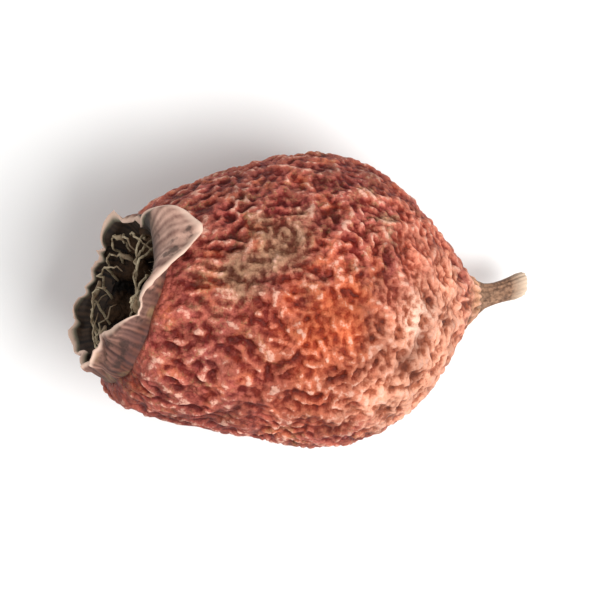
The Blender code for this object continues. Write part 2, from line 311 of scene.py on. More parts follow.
# %% Rings to a mesh
def ring_mesh(name, points, closed_ring=False, facts=()):
    """A closed mesh object from rings of points, with these facts (name, value) at its vertices.

    The first and last rings become one point each or, in a closed ring, meet each other.
    """
    rings, columns = points.shape[:2]
    index = np.arange(rings * columns).reshape(rings, columns)
    places = points.reshape(-1, 3)
    if closed_ring:
        index = np.vstack([index, index[:1]])
        keep = slice(None)
    else:
        index = index - (columns - 1)
        index[0] = 0
        index[-1] = index[-2, -1] + 1
        keep = slice(columns - 1, (rings - 1) * columns + 1)
    below, above = index[:-1], index[1:]
    corners = [below, np.roll(below, -1, axis=1), np.roll(above, -1, axis=1), above]
    faces = [tuple(dict.fromkeys(face)) for face in np.stack(corners, -1).reshape(-1, 4).tolist()]
    mesh = bpy.data.meshes.new(name)
    mesh.from_pydata(places[keep].tolist(), [], faces)
    for fact, value in facts:
        layer = mesh.attributes.new(fact, "FLOAT", "POINT")
        layer.data.foreach_set("value", value.reshape(-1)[keep].astype(np.float32))
    mesh.calc_loop_triangles()
    places = places[keep]
    solid = places[np.array([triangle.vertices for triangle in mesh.loop_triangles])]
    # The faces look inwards where the volume that they enclose comes out below 0.
    if np.linalg.det(solid - places.mean(axis=0)).sum() < 0:
        mesh.flip_normals()
    mesh.shade_smooth()
    piece = bpy.data.objects.new(name, mesh)
    bpy.context.scene.collection.objects.link(piece)
    return piece


def measured(piece):
    """The piece's name and how many triangles it has, to print."""
    triangles = sum(face.loop_total - 2 for face in piece.data.polygons)
    return f"{piece.name}: {triangles} triangles"


# %% [markdown]
# The relief moves each point of the outline along its own normal, and what would sink through the
# table is pressed flat on it. Colour will follow the relief, so each vertex also carries how high it
# stands over what lies round it: broad_crest over several folds, crest at the scale of the folds and
# fine_crest at that of the creases, each with its width and height in millimetres. It also carries
# how far along the flank it is, and whether it lies in the pit or in a crater.

# %% The skin's mesh
CRESTS = [("broad_crest", 0.6, 0.36), ("crest", 0.25, 0.20), ("fine_crest", 0.10, 0.08)]
PIT_EDGE_FADE = 0.3 * MM
CRATER_FULL_DEPTH = 0.15 * MM

slope = np.gradient(outline, run, axis=0)
along = outline[:, 0, None] - relief * slope[:, 1, None]
across = outline[:, 1, None] + relief * slope[:, 0, None]
skin_points = placed(np.stack([along + 0 * turn, across * np.cos(turn), across * np.sin(turn)], -1))
skin_points[..., 2] = np.maximum(skin_points[..., 2], 0)


def stands_over(width, height):
    """0 in a hollow, 1 on a crest, by how high the relief stands over its mean this far round."""
    return np.clip(0.5 + (relief - blur(relief, width, width)) / height, 0, 1)


facts = [(name, stands_over(width * MM, height * MM)) for name, width, height in CRESTS]
pit_share = np.clip((rim_end - run) / PIT_EDGE_FADE, 0, 1)
for name, share in (("ring_share", flank_share), ("pit", pit_share)):
    facts.append((name, np.repeat(share[:, None], COLUMNS, axis=1)))
facts.append(("crater", np.clip(craters / CRATER_FULL_DEPTH, 0, 1)))
skin = ring_mesh("skin", skin_points, facts=facts)
print(measured(skin))

# %% [markdown]
# ## The calyx crown
#
# Five sepals stood behind the flower and stay on the fruit, withered. They share one ring round the
# pit, so the crown is one blade swept round the axis whose length, lean and roll change with the
# angle: long at a sepal, low between two. Angles are in degrees, from straight upright: lean is that
# of the blade's root, and roll how much further it bends by its tip, outwards where it is above 0.
#
# One helper blends the sepals' values round the ring, with blunted tips, and the other draws random
# lines round it, which will serve for torn edges, crinkles and ribs.

# %% The five sepals
SEPALS = [
    {"at": 62, "half_width": 33, "length": 2.2 * MM, "lean": 46, "roll": 108},
    {"at": 142, "half_width": 38, "length": 1.25 * MM, "lean": 4, "roll": -70},
    {"at": 194, "half_width": 30, "length": 0.9 * MM, "lean": 10, "roll": -36},
    {"at": 250, "half_width": 36, "length": 0.95 * MM, "lean": 18, "roll": -22},
    {"at": 326, "half_width": 44, "length": 0.95 * MM, "lean": 4, "roll": -40},
]
CROWN_RIM_HEIGHT = 0.42 * MM
CROWN_RIM_LEAN = 14
CROWN_RIM_ROLL = 0
TIP_FULLNESS, TIP_BLUNTNESS = 0.8, 0.10
BEND_FULLNESS = 0.5


def sepal_mix(angle):
    """Length, lean and roll of the crown's blade at each angle round the axis, in degrees."""
    length = np.full(len(angle), CROWN_RIM_HEIGHT)
    lean = np.full(len(angle), float(CROWN_RIM_LEAN))
    roll = np.full(len(angle), float(CROWN_RIM_ROLL))
    for sepal in SEPALS:
        away = np.abs((angle - sepal["at"] + 180) % 360 - 180) / sepal["half_width"]
        weight = np.clip(1 - away, 0, 1)
        blunt = 1 - np.hypot(1 - weight**TIP_FULLNESS, TIP_BLUNTNESS * weight)
        length += (sepal["length"] - CROWN_RIM_HEIGHT) * blunt
        lean += (sepal["lean"] - CROWN_RIM_LEAN) * weight**BEND_FULLNESS
        roll += (sepal["roll"] - CROWN_RIM_ROLL) * weight**BEND_FULLNESS
    return length, np.radians(lean), np.radians(roll)


def round_waves(angle, slowest, fastest, seed, count=14):
    """A random line round the axis, with a spread of about 1, from this many waves to that many."""
    rng = np.random.default_rng(seed)
    number = rng.integers(slowest, fastest + 1, count)[:, None]
    phase = rng.uniform(0, 2 * math.pi, count)[:, None]
    return np.cos(number * np.radians(angle) + phase).sum(axis=0) * math.sqrt(2 / count)


print("sepals at", [sepal["at"] for sepal in SEPALS], "degrees")

# %% [markdown]
# The blade grows from its root, sunk in the ring, in equal steps. At each step it heads a little
# further from upright, so summing sines and cosines of its heading gives its middle line. Its edge
# is torn a little everywhere and notched deeper in a few places, and its lean and roll wander by a
# fraction of a radian.

# %% The crown's blade
CROWN_STEPS = 480
CROWN_STATIONS = 26
CROWN_ROOT = RIM_START + RIM_WIDTH * RIM_MIDDLE
ROOT_SINK = 0.16 * MM
EDGE_TEAR = 0.03 * MM
EDGE_NOTCH, NOTCH_LEVEL = 0.20 * MM, 0.9
LEAN_WANDER, ROLL_WANDER = 0.07, 0.20
ROLL_GROWTH = 1.2

angle = np.arange(CROWN_STEPS) * 360 / CROWN_STEPS
length, lean, roll = sepal_mix(angle)
notches = np.clip(round_waves(angle, 5, 17, 27) - NOTCH_LEVEL, 0, 1)
length = length + ROOT_SINK + EDGE_TEAR * round_waves(angle, 8, 30, 21) - EDGE_NOTCH * notches
lean = lean + LEAN_WANDER * round_waves(angle, 3, 9, 22)
roll = roll + ROLL_WANDER * round_waves(angle, 4, 13, 23)
stations = np.linspace(0, 1, CROWN_STATIONS)
step = length[:, None] / (CROWN_STATIONS - 1)
heading = lean[:, None] + roll[:, None] * stations[None, :] ** ROLL_GROWTH
middle = (heading[:, 1:] + heading[:, :-1]) / 2
start = np.zeros((CROWN_STEPS, 1))
blade_out = np.hstack([start, np.cumsum(np.sin(middle) * step, axis=1)]) + CROWN_ROOT
blade_up = np.hstack([start, np.cumsum(np.cos(middle) * step, axis=1)]) - ROOT_SINK
print("sepals reach", (blade_out.max() / MM).round(2), "mm from the axis")

# %% [markdown]
# The blade's two faces are its middle line moved by half its thickness to each side. It thins out
# quickly above its root, where the solid stays thick, and its edge is rounded off. Crinkles bend the
# whole blade and grow towards the edge, and ribs only raise the outer face.

# %% The crown's two faces
ROOT_THICKNESS, TIP_THICKNESS, THINNING = 0.58 * MM, 0.09 * MM, 2.4
EDGE_END, EDGE_ROUNDING, EDGE_LEAST = 1.02, 0.08, 0.05
CRINKLE, CRINKLE_ROWS, CRINKLE_GROWTH = 0.07 * MM, 7, 0.8
RIB_HEIGHT, RIB_AT_ROOT = 0.008 * MM, 0.3

rows = np.linspace(0, 1, CRINKLE_ROWS)
row_waves = np.stack([round_waves(angle, 3, 11, 30 + row) for row in range(CRINKLE_ROWS)], 1)
crinkle = np.stack([np.interp(stations, rows, waves) for waves in row_waves])
bend = CRINKLE * crinkle * stations[None, :] ** CRINKLE_GROWTH
thickness = TIP_THICKNESS + (ROOT_THICKNESS - TIP_THICKNESS) * (1 - stations) ** THINNING
half = thickness / 2 * np.sqrt(np.clip((EDGE_END - stations) / EDGE_ROUNDING, EDGE_LEAST, 1))
rib_waves = round_waves(angle, 14, 120, 24, 40)[:, None]
ribs = RIB_HEIGHT * rib_waves * (RIB_AT_ROOT + stations[None, :])
side_out, side_up = np.cos(heading), -np.sin(heading)
outer_out = blade_out + side_out * (bend + half + ribs)
outer_up = blade_up + side_up * (bend + half + ribs)
inner_out = blade_out + side_out * (bend - half)
inner_up = blade_up + side_up * (bend - half)
print("sepals are", (2 * half[1] / MM).round(2), "mm thick near the root")

# %% [markdown]
# The two faces make one closed section at each angle, up outside and down inside. The sepals'
# material will need to know how near the edge a point is, on which face, whether on a rib, and how
# far the blade is folded out there, because a folded sepal is painted paler, partly as its sun-faded
# side and partly as painted light where it faces up, while an upright one gets painted shade.

# %% The crown's mesh
FOLDED_FROM, FOLDED_OVER = 0.9, 0.7
RIB_MIDDLE, RIB_SPREAD = 0.5, 0.13

section_out = np.hstack([outer_out, inner_out[:, ::-1]])
section_up = np.hstack([outer_up, inner_up[:, ::-1]])
way = np.radians(angle)[:, None]
section = [-section_up - FLESH_LENGTH / 2, section_out * np.cos(way), section_out * np.sin(way)]
to_edge = np.broadcast_to(np.r_[stations, stations[::-1]], section_out.shape)
inside = np.broadcast_to(np.r_[0 * stations, 0 * stations + 1], section_out.shape)
rib_fact = np.broadcast_to(RIB_MIDDLE + RIB_SPREAD * rib_waves, section_out.shape)
both_headings = np.hstack([heading, heading[:, ::-1]])
bleached_and_lit = np.clip((both_headings - FOLDED_FROM) / FOLDED_OVER, 0, 1)
crown = ring_mesh(
    "crown",
    placed(np.stack(section, -1)),
    closed_ring=True,
    facts=[("to_edge", to_edge), ("inside", inside), ("rib", rib_fact), ("bleached_and_lit", bleached_and_lit)],
)
print(measured(crown))

# %% [markdown]
# ## Style, stamens and down
#
# In the pit stand the dry style, with its knobbed tip, and what is left of the stamens: pale threads
# that curl in from the ring. Between them lies short down. All are thin tubes that follow a bent
# path, so one function makes rings round a path, square to a helper direction that no path takes,
# and many tubes are joined in one mesh.

# %% Tubes along paths
HELPER_DIRECTION = np.array([0.31, 0.17, 0.93])


def bent_path(start, middle, end, count):
    """Points on the curve that starts and ends there and is drawn towards the middle point."""
    t = np.linspace(0, 1, count)[:, None]
    return (1 - t) ** 2 * start + 2 * t * (1 - t) * middle + t**2 * end


def tube_rings(path, radii, sides):
    """Rings round the path's points, closed to a point at both ends.

    radii has a row for each point of the path, with one radius or one for each side.
    """
    ahead = np.gradient(path, axis=0)
    ahead /= np.linalg.norm(ahead, axis=1, keepdims=True)
    side = np.cross(ahead, HELPER_DIRECTION)
    side /= np.linalg.norm(side, axis=1, keepdims=True)
    other = np.cross(ahead, side)
    round_angle = np.linspace(0, 2 * math.pi, sides, endpoint=False)
    rings = (
        path[:, None, :]
        + radii[..., None] * np.cos(round_angle)[None, :, None] * side[:, None, :]
        + radii[..., None] * np.sin(round_angle)[None, :, None] * other[:, None, :]
    )
    ends = [np.broadcast_to(path[i], (1, sides, 3)) for i in (0, -1)]
    return np.concatenate([ends[0], rings, ends[1]])


def joined(name, pieces):
    """One object from several, named afresh."""
    with bpy.context.temp_override(active_object=pieces[0], selected_editable_objects=pieces):
        bpy.ops.object.join()
    pieces[0].name = pieces[0].data.name = name
    return pieces[0]


# %% [markdown]
# The stamens' roots sit round the pit just inside the ring. Each thread leaves the ring upwards,
# curls inwards and a little sideways, and ends in a shrivelled anther or broken off. The draws come
# from one seeded generator, so every run gives the same nineteen. Their ranges are in millimetres:
# how far a thread rises, reaches inwards, drifts sideways and lifts its tip.

# %% The stamens
STAMEN_COUNT = 19
STAMEN_WIDTH = 0.075 * MM
STAMEN_POINTS, STAMEN_SIDES = 16, 7
STAMEN_ROOT, STAMEN_SINK = 1.70 * MM, 0.10 * MM
STAMEN_CURL = 0.9 * MM
RISE, REACH, DRIFT, LIFT = (0.7, 1.2), (0.5, 1.5), (0.5, 1.7), (0.0, 0.6)
KINK = 0.03
ANTHER_SHARE = 0.45
ANTHER_SHAPE = np.array([0.55, 1.0, 1.1, 0.6])

rng = np.random.default_rng(41)
threads = []
for number in range(STAMEN_COUNT):
    place = (number + rng.uniform(-0.3, 0.3)) / STAMEN_COUNT * 2 * math.pi
    outward = np.array([0, math.cos(place), math.sin(place)])
    sideways = np.array([0, -math.sin(place), math.cos(place)])
    reach = rng.uniform(*REACH) * MM
    root = outward * STAMEN_ROOT + np.array([STAMEN_SINK - FLESH_LENGTH / 2, 0, 0])
    knee = root + np.array([-rng.uniform(*RISE) * MM, 0, 0]) + sideways * STAMEN_CURL
    tip = root - outward * reach + sideways * rng.uniform(*DRIFT) * MM
    tip = tip + np.array([-rng.uniform(*LIFT) * MM, 0, 0])
    kinks = rng.normal(0, KINK, (STAMEN_POINTS, 3)) * MM
    path = placed(bent_path(root, knee, tip, STAMEN_POINTS) + kinks)
    width = STAMEN_WIDTH / 2 * np.linspace(1.2, 0.5, STAMEN_POINTS)
    width = width * rng.uniform(0.8, 1.2, STAMEN_POINTS)
    if rng.random() < ANTHER_SHARE:
        width[-len(ANTHER_SHAPE) :] = STAMEN_WIDTH * ANTHER_SHAPE
    rings = tube_rings(path, width[:, None], STAMEN_SIDES)
    tip_fact = np.repeat(np.linspace(0, 1, len(rings))[:, None], STAMEN_SIDES, axis=1)
    threads.append(ring_mesh(f"thread_{number}", rings, facts=[("to_edge", tip_fact)]))
stamens = joined("stamens", threads)
print(measured(stamens))

# %% [markdown]
# The style is the thickest thread, ribbed as it dried, and it widens at its tip to a stigma.

# %% The style
STYLE_HEIGHT = 1.15 * MM
STYLE_WIDTH = 0.75 * MM
STYLE_BEND = 0.22 * MM
STYLE_POINTS, STYLE_SIDES = 34, 40
STYLE_STATIONS = [0, 0.15, 0.45, 0.8, 0.92, 1.0]
STYLE_TAPER = [1.0, 0.74, 0.56, 0.5, 0.72, 0.5]
STYLE_RIBS = [{"count": 7, "height": 0.10, "twist": 3}, {"count": 13, "height": 0.05, "twist": -9}]

floor_point = np.array([PIT_DEPTH - FLESH_LENGTH / 2, 0, 0])
style_path = bent_path(
    floor_point,
    floor_point - [STYLE_HEIGHT * 0.6, 0, 0],
    floor_point - [STYLE_HEIGHT, STYLE_BEND, 0],
    STYLE_POINTS,
)
share = np.linspace(0, 1, STYLE_POINTS)[:, None]
style_turn = np.linspace(0, 2 * math.pi, STYLE_SIDES, endpoint=False)[None, :]
taper = np.interp(share, STYLE_STATIONS, STYLE_TAPER)
ribbing = 1
for rib in STYLE_RIBS:
    wave = np.cos(rib["count"] * style_turn + rib["twist"] * share)
    ribbing = ribbing + rib["height"] * wave
style_rings = tube_rings(placed(style_path), STYLE_WIDTH / 2 * taper * ribbing, STYLE_SIDES)
style_fact = np.repeat(np.linspace(0, 1, len(style_rings))[:, None], STYLE_SIDES, axis=1)
style = ring_mesh("style_piece", style_rings, facts=[("to_edge", style_fact)])
print(measured(style))

# %% [markdown]
# Down is too fine to model hair by hair at its true count, so some two hundred three-sided hairs
# stand for it, thick enough to show. Each is rooted a little under the pit's floor or wall, which
# we read off the outline, so that none hangs in the air over a hollow between two spokes.

# %% The down in the pit
HAIR_COUNT = 220
HAIR_WIDTH = 0.03 * MM
HAIR_SINK = 0.18 * MM
HAIR_POINTS, HAIR_SIDES = 5, 3
HAIR_RISE, HAIR_DRIFT = (0.25, 0.5), (-0.28, 0.28)
DOWN_RADIUS = 1.45 * MM

in_pit_rings = run < rim_end
hairs = []
for number in range(HAIR_COUNT):
    place = rng.uniform(0, 2 * math.pi)
    far = math.sqrt(rng.uniform(0.05, 1)) * DOWN_RADIUS
    outward = np.array([0, math.cos(place), math.sin(place)])
    surface = np.interp(far, outline[in_pit_rings, 1], outline[in_pit_rings, 0])
    root = outward * far + np.array([surface + HAIR_SINK, 0, 0])
    lean_to = np.array([-rng.uniform(*HAIR_RISE), *rng.uniform(*HAIR_DRIFT, 2)]) * MM
    lean_to[0] -= HAIR_SINK
    path = placed(bent_path(root, root + lean_to * [0.8, 0.2, 0.2], root + lean_to, HAIR_POINTS))
    width = HAIR_WIDTH / 2 * np.linspace(1, 0.3, HAIR_POINTS)
    rings = tube_rings(path, width[:, None], HAIR_SIDES)
    hair_fact = np.full(rings.shape[:2], 0.5)
    hairs.append(ring_mesh(f"hair_{number}", rings, facts=[("to_edge", hair_fact)]))
down = joined("down", hairs)
print(measured(down), "in", len(hairs), "hairs")

# %% [markdown]
# ## The stalk
#
# The stub is a dry, ribbed cylinder that flares where it joins the neck and again where it broke
# from its twig. Its furrows are a sum of waves round it, each with its own slight twist, which gives
# the uneven ribs of shrunken bark.

# %% The stalk's sides
STALK_LENGTH = 1.5 * MM
STALK_WIDTH = 0.62 * MM
STALK_BEND, STALK_BEND_GROWTH = 0.43 * MM, 1.3
STALK_SINK = 0.18 * MM
STALK_RINGS, STALK_COLUMNS = 70, 72
STALK_TAPER = [1.9, 1.45, 1.12, 1.0, 0.94, 0.94, 1.0, 1.1, 1.06]
FURROW_WAVES = 26
FURROW_DEPTH = 0.056

stalk_share = np.linspace(0, 1, STALK_RINGS)[:, None]
stalk_turn = np.linspace(0, 2 * math.pi, STALK_COLUMNS, endpoint=False)[None, :]
taper = np.interp(stalk_share, np.linspace(0, 1, len(STALK_TAPER)), STALK_TAPER)
rng = np.random.default_rng(52)
furrows = np.zeros((STALK_RINGS, STALK_COLUMNS))
for _ in range(FURROW_WAVES):
    count = rng.integers(3, 19)
    furrows += np.cos(count * stalk_turn + rng.uniform(0, 6.3) + rng.uniform(-3, 3) * stalk_share)
furrows *= math.sqrt(2 / FURROW_WAVES)
stalk_radius = STALK_WIDTH / 2 * taper * (1 + FURROW_DEPTH * furrows)
stalk_along = FLESH_LENGTH / 2 - STALK_SINK + (STALK_LENGTH + STALK_SINK) * stalk_share
stalk_sides = np.stack(
    [
        stalk_along + 0 * stalk_turn,
        stalk_radius * np.cos(stalk_turn) + STALK_BEND * stalk_share**STALK_BEND_GROWTH,
        stalk_radius * np.sin(stalk_turn),
    ],
    -1,
)
print("stalk is", (2 * stalk_radius[-1].mean() / MM).round(2), "mm thick at its broken end")

# %% [markdown]
# The broken end is a rough, slightly hollow face of fibre ends. Four smaller and smaller rings fill
# it, each with its points pushed in and out at random.

# %% The stalk's broken end
FACE_RINGS = [0.82, 0.6, 0.38, 0.16]
FIBRE_ENDS = 0.022
FACE_HOLLOW = 0.05 * MM

centre = stalk_sides[-1].mean(axis=0)
face_rings = []
for inward in FACE_RINGS:
    ring = centre + (stalk_sides[-1] - centre) * inward
    ring[:, 0] += rng.normal(0, FIBRE_ENDS, STALK_COLUMNS) * MM - FACE_HOLLOW * (1 - inward)
    face_rings.append(ring)
rings = np.concatenate([stalk_sides, np.stack(face_rings)])
ends = [np.broadcast_to(ring.mean(axis=0), (1, STALK_COLUMNS, 3)) for ring in (rings[0], rings[-1])]
rings = np.concatenate([ends[0], rings, ends[1]])
to_broken_end = np.clip(np.arange(len(rings)) / (STALK_RINGS + 1), 0, 1)
stalk_fact = np.repeat(to_broken_end[:, None], STALK_COLUMNS, axis=1)
stalk = ring_mesh("stalk_piece", placed(rings), facts=[("to_edge", stalk_fact)])
print(measured(stalk))

# %% [markdown]
# ## Materials
#
# Colours are written as the sRGB hex values that one reads off a picture, and a shader wants linear
# ones. Pattern sizes are written in millimetres, and a texture wants how many fit in a metre. One
# function, add, makes every node with its settings, the values of its sockets and its links. Sockets
# go by their names, except where a node gives several the same name: a Mix node has its colours at
# the numbers below, and a maths node counts its inputs from 0.

# %% Helpers for materials
MIX_AMOUNT, MIX_FIRST, MIX_SECOND, MIXED = 0, 6, 7, 2


def linear(hex_colour):
    """sRGB hex to the linear RGBA that a shader takes."""
    shares = [int(hex_colour[i : i + 2], 16) / 255 for i in (1, 3, 5)]
    return [c / 12.92 if c <= 0.04045 else ((c + 0.055) / 1.055) ** 2.4 for c in shares] + [1]


def per_metre(size_mm):
    """The texture scale that gives a pattern of this size, on coordinates in metres."""
    return 1000 / size_mm


def add(tree, kind, values=None, links=None, **settings):
    """Adds a node with these settings, socket values and links, and returns it."""
    made = tree.nodes.new("ShaderNode" + kind)
    for name, setting in settings.items():
        setattr(made, name, setting)
    for socket, value in (values or {}).items():
        made.inputs[socket].default_value = value
    for socket, source in (links or {}).items():
        tree.links.new(source, made.inputs[socket])
    return made


def new_material(name):
    """An empty material with its node tree, its shader and its surface's coordinates."""
    material = bpy.data.materials.new(name)
    material.use_nodes = True
    tree = material.node_tree
    place = add(tree, "TexCoord").outputs["Object"]
    return material, tree, tree.nodes["Principled BSDF"], place


print("a pattern of 0.2 mm has the scale", per_metre(0.2))

# %% [markdown]
# Patterns that follow straight coordinates look made. So we first push the place about by a soft
# noise, and let patches and cells follow the pushed place, which gives them ragged or bent edges.

# %% A pushed place
def pushed_about(tree, place, size_mm, push, detail, roughness=0.5):
    """The place moved about by a noise of this size, by up to half of push each way."""
    drift = add(
        tree,
        "TexNoise",
        {"Scale": per_metre(size_mm), "Detail": detail, "Roughness": roughness},
        {"Vector": place},
    ).outputs["Color"]
    drift = add(tree, "VectorMath", {1: (0.5,) * 3}, {0: drift}, operation="SUBTRACT").outputs[0]
    return add(
        tree, "VectorMath", {1: (push,) * 3}, {0: drift, 2: place}, operation="MULTIPLY_ADD"
    ).outputs[0]


RAGGED_PUSH = 4.2 * MM

haw_skin, tree, shader, place = new_material("sun_dried_haw_skin")
ragged_place = pushed_about(tree, place, size_mm=1.1, push=RAGGED_PUSH, detail=6, roughness=0.72)
print("patches get ragged by up to", round(RAGGED_PUSH / 2 / MM, 1), "mm")

# %% [markdown]
# ### Sun-dried haw skin
#
# The skin is a waxy cuticle over red pulp, dried whole in the sun. Where it was pressed up into
# ridges it has lost its wax, looks dusty and scatters light, so ridges are pale and pinkish, while
# the hollows keep the deep red; the gap between the two is also widened as painted light on the
# ridges and painted shade in the hollows. Every tone is therefore a pair, hollow and ridge. All
# overlays that shift the pair are gathered in one list, each with its amount. The first are flecks.
# Those a millimetre wide lean to orange, where the pulp shines through more, or to crimson, where it
# dried on the skin. Smaller ones are olive, where the skin was scarred, or pink.

# %% Flecks of the skin
ROSE = ("#64130c", "#b15d4c")

fleck = add(
    tree,
    "TexNoise",
    {"Scale": per_metre(0.9), "Detail": 5, "Roughness": 0.65},
    {"Vector": place},
).outputs["Fac"]
small_fleck = add(
    tree,
    "TexNoise",
    {"Scale": per_metre(0.6), "Detail": 4, "Roughness": 0.65},
    {"Vector": ragged_place},
).outputs["Fac"]
overlays = []
for pattern, none_at, full_at, share, pair in (
    (fleck, 0.53, 0.63, 0.6, ("#8c2c10", "#d0744d")),
    (fleck, 0.47, 0.37, 0.6, ("#560d0e", "#a34a46")),
    (small_fleck, 0.56, 0.66, 0.6, ("#4c2e16", "#b0905f")),
    (small_fleck, 0.42, 0.33, 0.5, ("#7a1a22", "#cf6a66")),
):
    amount = add(
        tree,
        "MapRange",
        {"From Min": none_at, "From Max": full_at, "To Max": share},
        {"Value": pattern},
    ).outputs[0]
    overlays.append((amount, pair))
print("kinds of fleck:", len(overlays))

# %% [markdown]
# Over the flecks lie patches. The crimson one on the lower left is painted shade, darkening the side
# away from the light; the lower middle is orange; the peach patches and the palest one on the right are
# partly the skin's own paler tone and partly painted light on the side that the soft box lights; and
# three rubbed patches are tan. Each is a ball round a centre, in millimetres on the table, that fades
# out at its ragged edge and lets a little of the flecks through everywhere. Towards the stalk the skin
# runs out in brown bark.

# %% Patches of the skin
PATCH_TONES = {
    "crimson": ("#480c0a", "#8c3d34"),
    "orange": ("#7c2812", "#bb6445"),
    "ember": ("#9c3312", "#d66f46"),
    "salmon": ("#8c2e1a", "#dc7f64"),
    "peach": ("#a0573a", "#edaa8c"),
    "bleached_and_lit": ("#b26a4d", "#f8cdb6"),
    "tan": ("#643722", "#b99070"),
}
NECK_TONES = ("#7a4c30", "#d3a37e")
# Painted light among the patches: crimson is painted shade on the lower left, and the peach and palest
# patches on the right are partly painted light.
PATCHES = [
    ("crimson", (-3.0, -2.6, 5.2), 2.6),
    ("orange", (1.0, -1.6, 6.8), 2.8),
    ("ember", (1.0, -0.5, 7.4), 1.5),
    ("salmon", (3.5, 1.0, 5.2), 2.3),
    ("peach", (3.4, -1.2, 5.0), 2.9),
    ("peach", (2.5, -2.5, 5.6), 1.5),
    ("tan", (-1.7, 0.8, 8.2), 1.0),
    ("tan", (-0.5, 1.7, 7.9), 1.2),
    ("tan", (2.2, 2.1, 6.2), 0.6),
    ("bleached_and_lit", (3.0, -0.5, 6.0), 0.9),
]
PATCH_EDGE, PATCH_CORE, PATCH_SHARE = 1.25, 0.35, 0.82

for tone, centre, size in PATCHES:
    away = add(
        tree,
        "VectorMath",
        {1: [c * MM for c in centre]},
        {0: ragged_place},
        operation="DISTANCE",
    ).outputs["Value"]
    patch = add(
        tree,
        "MapRange",
        {"From Min": size * PATCH_EDGE * MM, "From Max": size * PATCH_CORE * MM, "To Max": PATCH_SHARE},
        {"Value": away},
        interpolation_type="SMOOTHSTEP",
    ).outputs[0]
    overlays.append((patch, PATCH_TONES[tone]))
along_flank = add(tree, "Attribute", attribute_name="ring_share").outputs["Fac"]
at_neck = add(
    tree,
    "MapRange",
    {"From Min": 0.86, "From Max": 0.985},
    {"Value": along_flank},
    interpolation_type="SMOOTHSTEP",
).outputs[0]
overlays.append((at_neck, NECK_TONES))
print("patches:", [tone for tone, _, _ in PATCHES])

# %% [markdown]
# Now the overlays go over the rose that the skin has by itself, once for the colour of the hollows
# and once for that of the ridges.

# %% Hollow and ridge colours
both = []
for number in range(2):
    start = add(tree, "RGB")
    start.outputs[0].default_value = linear(ROSE[number])
    tone = start.outputs[0]
    for amount, pair in overlays:
        tone = add(
            tree,
            "Mix",
            {MIX_SECOND: linear(pair[number])},
            {MIX_AMOUNT: amount, MIX_FIRST: tone},
            data_type="RGBA",
        ).outputs[MIXED]
    both.append(tone)
hollow, ridge = both
print("overlays on each colour:", len(overlays))

# %% [markdown]
# Close by, the skin is grained like leather: domed cells a sixth of a millimetre wide with fine
# grooves between them, on a slightly pushed place. A still finer grain stands for dust. Real dust is
# finer than a pixel, so it is drawn as coarse as it needs to show.

# %% Leather grain and dust
grain_place = pushed_about(tree, place, size_mm=0.35, push=0.22 * MM, detail=2)
cell = add(
    tree,
    "TexVoronoi",
    {"Scale": per_metre(0.17)},
    {"Vector": grain_place},
    feature="F1",
).outputs["Distance"]
dome = add(
    tree,
    "MapRange",
    {"From Min": 0.15, "From Max": 0.75, "To Min": 1.0, "To Max": 0.0},
    {"Value": cell},
).outputs[0]
dust = add(
    tree,
    "TexNoise",
    {"Scale": per_metre(0.05), "Detail": 3, "Roughness": 0.7},
    {"Vector": place},
).outputs["Fac"]
print("grain cells in a millimetre:", round(per_metre(0.17) * MM, 1))

# %% [markdown]
# Ridge or hollow comes from the relief that the vertices carry, upset by a mottle, the grain and the
# dust, so that the colour doesn't follow the shape like a contour map. Each part has its weight in
# one sum, and everything that follows reads that sum.

# %% How high a point counts
mottle = add(
    tree,
    "TexNoise",
    {"Scale": per_metre(0.75), "Detail": 6, "Roughness": 0.72},
    {"Vector": place},
).outputs["Fac"]
parts = [
    (add(tree, "Attribute", attribute_name=name).outputs["Fac"], weight)
    for name, weight in (("broad_crest", 0.12), ("crest", 0.40), ("fine_crest", 0.30))
]
parts += [(mottle, 1.30), (dome, 0.20), (dust, 0.45)]
(part, weight), *other_parts = parts
height = add(tree, "Math", {1: weight}, {0: part}, operation="MULTIPLY").outputs[0]
for part, weight in other_parts:
    height = add(
        tree, "Math", {1: weight}, {0: part, 2: height}, operation="MULTIPLY_ADD"
    ).outputs[0]
print("weights:", [weight for _, weight in parts])

# %% [markdown]
# The lowest places show the hollow colour and the highest the ridge colour. The very highest get a
# pale painted highlight, glints on the crests, and the deepest creases get painted shade, nearly
# black. Both are overlays by height.

# %% Ridges, painted glints and painted crease shade
# bright is how far a point takes the ridge colour: partly its dusty tone, partly painted light on ridges
# and painted shade in hollows.
bright = add(
    tree,
    "MapRange",
    {"From Min": 1.09, "From Max": 1.60},
    {"Value": height},
    interpolation_type="SMOOTHSTEP",
).outputs[0]
skin_colour = add(
    tree, "Mix", {}, {MIX_AMOUNT: bright, MIX_FIRST: hollow, MIX_SECOND: ridge}, data_type="RGBA"
).outputs[MIXED]
# Two overlays by height: a pale painted highlight (glints) on the highest crests, and painted shade in
# the deepest creases.
for name, none_at, full_at, share, tone in (
    ("painted glints on crests", 1.55, 1.80, 0.8, "#e6b09a"),
    ("painted shade in creases", 1.14, 0.86, 0.75, "#451109"),
):
    amount = add(
        tree,
        "MapRange",
        {"From Min": none_at, "From Max": full_at, "To Max": share},
        {"Value": height},
        interpolation_type="SMOOTHSTEP",
    ).outputs[0]
    skin_colour = add(
        tree,
        "Mix",
        {MIX_SECOND: linear(tone)},
        {MIX_AMOUNT: amount, MIX_FIRST: skin_colour},
        data_type="RGBA",
    ).outputs[MIXED]
    print(name, "from", none_at, "to", full_at)
